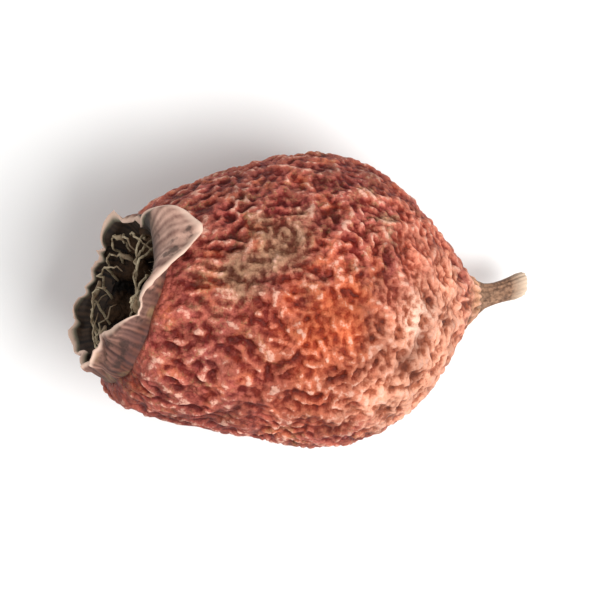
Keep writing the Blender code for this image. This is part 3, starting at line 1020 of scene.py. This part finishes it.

# %% [markdown]
# The few craters are brown bruises. The pit's floor and walls are the same mesh, but dry brown pith
# instead of skin, partly its own brown and partly painted shade, nearly black, deep in the pit. Broad
# smudges darken or lighten the whole berry a little.

# %% Bruises, pith and smudges
bruised = add(tree, "Attribute", attribute_name="crater").outputs["Fac"]
bruised = add(tree, "Math", {1: 0.6}, {0: bruised}, operation="MULTIPLY").outputs[0]
skin_colour = add(
    tree,
    "Mix",
    {MIX_SECOND: linear("#6a3424")},
    {MIX_AMOUNT: bruised, MIX_FIRST: skin_colour},
    data_type="RGBA",
).outputs[MIXED]
# The pith's dark tone is partly its own brown and partly painted shade in the recess of the pit.
pith = add(
    tree,
    "Mix",
    {MIX_FIRST: linear("#120a06"), MIX_SECOND: linear("#553d2a")},
    {MIX_AMOUNT: bright},
    data_type="RGBA",
).outputs[MIXED]
in_the_pit = add(tree, "Attribute", attribute_name="pit").outputs["Fac"]
skin_colour = add(
    tree, "Mix", {}, {MIX_AMOUNT: in_the_pit, MIX_FIRST: skin_colour, MIX_SECOND: pith}, data_type="RGBA"
).outputs[MIXED]
smudge = add(
    tree,
    "TexNoise",
    {"Scale": per_metre(1.0), "Detail": 4},
    {"Vector": place},
).outputs["Fac"]
shade = add(
    tree,
    "MapRange",
    {"From Min": 0.3, "From Max": 0.7, "To Min": 0.62, "To Max": 1.28},
    {"Value": smudge},
).outputs[0]
skin_colour = add(
    tree, "VectorMath", {}, {0: skin_colour, "Scale": shade}, operation="SCALE"
).outputs[0]
tree.links.new(skin_colour, shader.inputs["Base Color"])
print("smudges scale the colour by 0.62 to 1.28")

# %% [markdown]
# What wax is left in the hollows keeps a dull shine, and the rubbed ridges have none. The grain and
# the dust are also raised a little, by about a twentieth of a millimetre, which breaks the shine up
# into small glints. A specular level under half keeps a veil of white sky off the deep reds.

# %% Gloss and bump of the skin
gloss = add(
    tree,
    "MapRange",
    {"From Min": 0.9, "From Max": 1.6, "To Min": 0.52, "To Max": 0.75},
    {"Value": height},
).outputs[0]
tree.links.new(gloss, shader.inputs["Roughness"])
shader.inputs["Specular IOR Level"].default_value = 0.22
raised = add(tree, "Math", {1: 0.6}, {0: dust, 2: dome}, operation="MULTIPLY_ADD").outputs[0]
bump = add(tree, "Bump", {"Strength": 1.0, "Distance": 0.045 * MM}, {"Height": raised})
tree.links.new(bump.outputs[0], shader.inputs["Normal"])
skin.data.materials.append(haw_skin)
print("nodes in the skin's material:", len(tree.nodes))

# %% [markdown]
# ### Withered sepal
#
# A dry sepal is papery: it scatters light like thin card, without a shine, and its ribs are lighter
# than the web between them. So each tone is again a pair, here web and rib, and a fine noise streaks
# them, because the ribs of a shrunken leaf are broken lines.

# %% Web and ribs of the sepals
STREAK_SIZE = 0.25

sepal, tree, shader, place = new_material("withered_sepal")
edge = add(tree, "Attribute", attribute_name="to_edge").outputs["Fac"]
rib = add(tree, "Attribute", attribute_name="rib").outputs["Fac"]
flecks = add(
    tree,
    "TexNoise",
    {"Scale": per_metre(STREAK_SIZE), "Detail": 5, "Roughness": 0.7},
    {"Vector": place},
).outputs["Fac"]
streak = add(tree, "Math", {1: 0.6}, {0: flecks, 2: rib}, operation="MULTIPLY_ADD").outputs[0]
streak = add(tree, "MapRange", {"From Min": 0.5, "From Max": 1.1}, {"Value": streak}).outputs[0]
# The third pair, for the inner face, is nearly black: partly the sepal's own dark brown, partly painted
# shade in the cup round the pit.
near_root, near_edge, inside_colour = (
    add(
        tree,
        "Mix",
        {MIX_FIRST: linear(web_tone), MIX_SECOND: linear(rib_tone)},
        {MIX_AMOUNT: streak},
        data_type="RGBA",
    ).outputs[MIXED]
    for web_tone, rib_tone in (("#2c100c", "#74402f"), ("#6a4237", "#e2b6a2"), ("#140b07", "#4c3828"))
)
print("the sepals are streaked every", STREAK_SIZE, "mm or so")

# %% [markdown]
# Outside, a sepal is dark red-brown at its root and dries to a pinkish tan towards its edge, or all
# over where it is folded out: partly faded by the sun, partly painted light where it faces up.
# Upright sepals stay darker, as painted shade, and have stains of ochre and of dull brown.

# %% Outside of the sepals
folded_out = add(tree, "Attribute", attribute_name="bleached_and_lit").outputs["Fac"]
upright = add(tree, "Math", {0: 1.0}, {1: folded_out}, operation="SUBTRACT").outputs[0]
# Upright sepals take at most 0.42 of the pale tone, which is painted shade on their outer faces.
dried_away = add(
    tree, "MapRange", {"From Min": 0.3, "From Max": 0.95, "To Max": 0.42}, {"Value": edge}
).outputs[0]
dried_away = add(
    tree, "Math", {}, {0: dried_away, 1: folded_out}, operation="MAXIMUM"
).outputs[0]
colour = add(
    tree,
    "Mix",
    {},
    {MIX_AMOUNT: dried_away, MIX_FIRST: near_root, MIX_SECOND: near_edge},
    data_type="RGBA",
).outputs[MIXED]
stain = add(tree, "TexNoise", {"Scale": per_metre(0.9), "Detail": 3}, {"Vector": place}).outputs["Fac"]
for none_at, full_at, share, tone in ((0.52, 0.62, 0.5, "#9c7c52"), (0.48, 0.38, 0.4, "#664440")):
    amount = add(
        tree,
        "MapRange",
        {"From Min": none_at, "From Max": full_at, "To Max": share},
        {"Value": stain},
    ).outputs[0]
    amount = add(tree, "Math", {}, {0: amount, 1: upright}, operation="MULTIPLY").outputs[0]
    colour = add(
        tree,
        "Mix",
        {MIX_SECOND: linear(tone)},
        {MIX_AMOUNT: amount, MIX_FIRST: colour},
        data_type="RGBA",
    ).outputs[MIXED]
print("nodes so far:", len(tree.nodes))

# %% [markdown]
# Inside, an upright sepal is nearly black: partly its own dark brown, where it stayed damp longest,
# and partly painted shade in the cup round the pit, with a thin grey line under its edge. Dark
# blotches of mould lie on both faces, and the very edge is pale, partly worn and partly a painted
# highlight along the rim. The surface is matt, and roughened by the same fine noise that streaks it.

# %% Inside, blotches and edge of the sepals
grey_line = add(
    tree, "MapRange", {"From Min": 0.80, "From Max": 0.96, "To Max": 0.85}, {"Value": edge}
).outputs[0]
inside_colour = add(
    tree,
    "Mix",
    {MIX_SECOND: linear("#a09c84")},
    {MIX_AMOUNT: grey_line, MIX_FIRST: inside_colour},
    data_type="RGBA",
).outputs[MIXED]
inner_face = add(tree, "Attribute", attribute_name="inside").outputs["Fac"]
inner = add(tree, "Math", {}, {0: inner_face, 1: upright}, operation="MULTIPLY").outputs[0]
colour = add(
    tree,
    "Mix",
    {},
    {MIX_AMOUNT: inner, MIX_FIRST: colour, MIX_SECOND: inside_colour},
    data_type="RGBA",
).outputs[MIXED]
blotch = add(
    tree,
    "TexNoise",
    {"Scale": per_metre(0.5), "Detail": 4, "Roughness": 0.6},
    {"Vector": place},
).outputs["Fac"]
blotch = add(
    tree, "MapRange", {"From Min": 0.56, "From Max": 0.66, "To Max": 0.8}, {"Value": blotch}
).outputs[0]
# The pale rim is partly wear and partly a painted highlight along the sepal's edge.
worn_edge_and_highlight = add(
    tree,
    "MapRange",
    {"From Min": 0.86, "From Max": 0.98, "To Max": 0.9},
    {"Value": edge},
    interpolation_type="SMOOTHSTEP",
).outputs[0]
for amount, tone in ((blotch, "#2c1810"), (worn_edge_and_highlight, "#e4c2ae")):
    colour = add(
        tree,
        "Mix",
        {MIX_SECOND: linear(tone)},
        {MIX_AMOUNT: amount, MIX_FIRST: colour},
        data_type="RGBA",
    ).outputs[MIXED]
tree.links.new(colour, shader.inputs["Base Color"])
shader.inputs["Roughness"].default_value = 0.78
bump = add(tree, "Bump", {"Strength": 0.5, "Distance": 0.03 * MM}, {"Height": flecks})
tree.links.new(bump.outputs[0], shader.inputs["Normal"])
crown.data.materials.append(sepal)
print("nodes in the sepals' material:", len(tree.nodes))

# %% [markdown]
# ### Dry plant fibre
#
# Style, stamens, down and stalk are all dry fibre. They share one recipe with other colours: a
# darker and a paler tone in fine streaks, another tone towards the tip, and no gloss. The stamens'
# tips are brown, where their anthers shrivelled, and the stalk's is pale, where it broke afresh.

# %% Dry fibre
def fibre(name, dark, pale, tip, streak_mm):
    """Dry fibre in two tones, with another colour at the tip."""
    material, tree, shader, place = new_material(name)
    streaks = add(
        tree,
        "TexNoise",
        {"Scale": per_metre(streak_mm), "Detail": 4, "Roughness": 0.65},
        {"Vector": place},
    ).outputs["Fac"]
    level = add(tree, "MapRange", {"From Min": 0.35, "From Max": 0.65}, {"Value": streaks}).outputs[0]
    tone = add(
        tree,
        "Mix",
        {MIX_FIRST: linear(dark), MIX_SECOND: linear(pale)},
        {MIX_AMOUNT: level},
        data_type="RGBA",
    ).outputs[MIXED]
    edge = add(tree, "Attribute", attribute_name="to_edge").outputs["Fac"]
    near_tip = add(
        tree, "MapRange", {"From Min": 0.7, "From Max": 1.0, "To Max": 0.85}, {"Value": edge}
    ).outputs[0]
    tone = add(
        tree,
        "Mix",
        {MIX_SECOND: linear(tip)},
        {MIX_AMOUNT: near_tip, MIX_FIRST: tone},
        data_type="RGBA",
    ).outputs[MIXED]
    tree.links.new(tone, shader.inputs["Base Color"])
    shader.inputs["Roughness"].default_value = 0.75
    bump = add(tree, "Bump", {"Strength": 0.5, "Distance": 0.02 * MM}, {"Height": streaks})
    tree.links.new(bump.outputs[0], shader.inputs["Normal"])
    return material


for piece, name, dark, pale, tip, streak_mm in (
    (stamens, "dried_stamen", "#80694e", "#d0bf9e", "#6b4a30", 0.2),
    (style, "dried_style", "#7b5c40", "#cbb08e", "#a98a68", 0.15),
    (down, "dried_down", "#9b8468", "#d9c9ac", "#d9c9ac", 0.2),
    (stalk, "dry_stalk_bark", "#583b29", "#9c765b", "#e6cfb6", 0.12),
):
    piece.data.materials.append(fibre(name, dark, pale, tip, streak_mm))
    print(piece.name, "is", name)

# %% [markdown]
# ## Riding on the frame
#
# Every piece moves with the one body and stands for its solid.

# %% What stands for what
ROOT = "root"
for piece, node, slot in (
    (skin, "berry", "dried_skin"),
    (crown, "calyx_crown", "withered_calyx"),
    (style, "style", "withered_style"),
    (stalk, "stalk", "dry_stalk"),
):
    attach(piece, ROOT)
    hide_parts(node)
for piece in (stamens, down):
    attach(piece, ROOT)
print("all pieces ride on", ROOT)

# %% [markdown]
# ## Floor, light and camera
#
# A plain white floor, one soft box high at the picture's right and a bright even sky give the soft
# light of a pack shot, with its shade at the left. The floor is a matt painted board, so dull that
# only the berry's soft shade shows on it. It lies a hair's breadth under the berry, so that the
# flat spot and the floor don't fight for the same height.

# %% The floor
FLOOR_DROP = 0.02 * MM
FLOOR_WIDTH = 0.8

bpy.ops.mesh.primitive_plane_add(size=FLOOR_WIDTH, location=(0, 0, -FLOOR_DROP))
floor = bpy.context.object
floor.name = "floor"
floor_paint, tree, shader, place = new_material("matt_white_board")
shader.inputs["Base Color"].default_value = linear("#f4f4f3")
shader.inputs["Roughness"].default_value = 0.9
floor.data.materials.append(floor_paint)
print("the floor is", floor_paint.name)

# %% [markdown]
# A square light of 8 cm, 15 cm away, is broad enough to blur the shade's edge and still narrow
# enough to draw every wrinkle. The even sky fills what it leaves.

# %% The light
BERRY_MIDDLE = Vector((0, 0, 4 * MM))
KEY_PLACE = (0.065, -0.035, 0.135)
KEY_SIZE = 0.08
KEY_POWER = 0.24
SKY_STRENGTH = 0.62


def soft_box(name, place, size, power):
    """A square light at that place, in metres, turned to the berry."""
    light = bpy.data.lights.new(name, "AREA")
    light.size = size
    light.energy = power
    lamp = bpy.data.objects.new(name, light)
    lamp.location = place
    lamp.rotation_euler = (BERRY_MIDDLE - Vector(place)).to_track_quat("-Z", "Y").to_euler()
    bpy.context.scene.collection.objects.link(lamp)


soft_box("key", KEY_PLACE, KEY_SIZE, KEY_POWER)
sky = bpy.data.worlds.new("sky")
sky.use_nodes = True
background = sky.node_tree.nodes["Background"]
background.inputs["Color"].default_value = (1, 1, 1, 1)
background.inputs["Strength"].default_value = SKY_STRENGTH
bpy.context.scene.world = sky
bpy.context.scene.view_settings.view_transform = "Standard"
print("key of", KEY_POWER, "W and a sky of strength", SKY_STRENGTH)

# %% [markdown]
# The camera looks straight down with a long lens, so the berry shows almost no perspective, and it is
# as near as fills three quarters of the picture.

# %% The camera
LENS, SENSOR = 200, 36
SHOWN_WIDTH = 16.6 * MM
CLIP_START = 0.005

camera = bpy.data.cameras.new("camera")
camera.lens = LENS
camera.sensor_width = SENSOR
camera.clip_start = CLIP_START
eye = bpy.data.objects.new("camera", camera)
eye.location = (0, 0, BERRY_MIDDLE.z + SHOWN_WIDTH * LENS / SENSOR)
bpy.context.scene.collection.objects.link(eye)
bpy.context.scene.camera = eye
print("camera stands", round(eye.location.z / MM), "mm up")
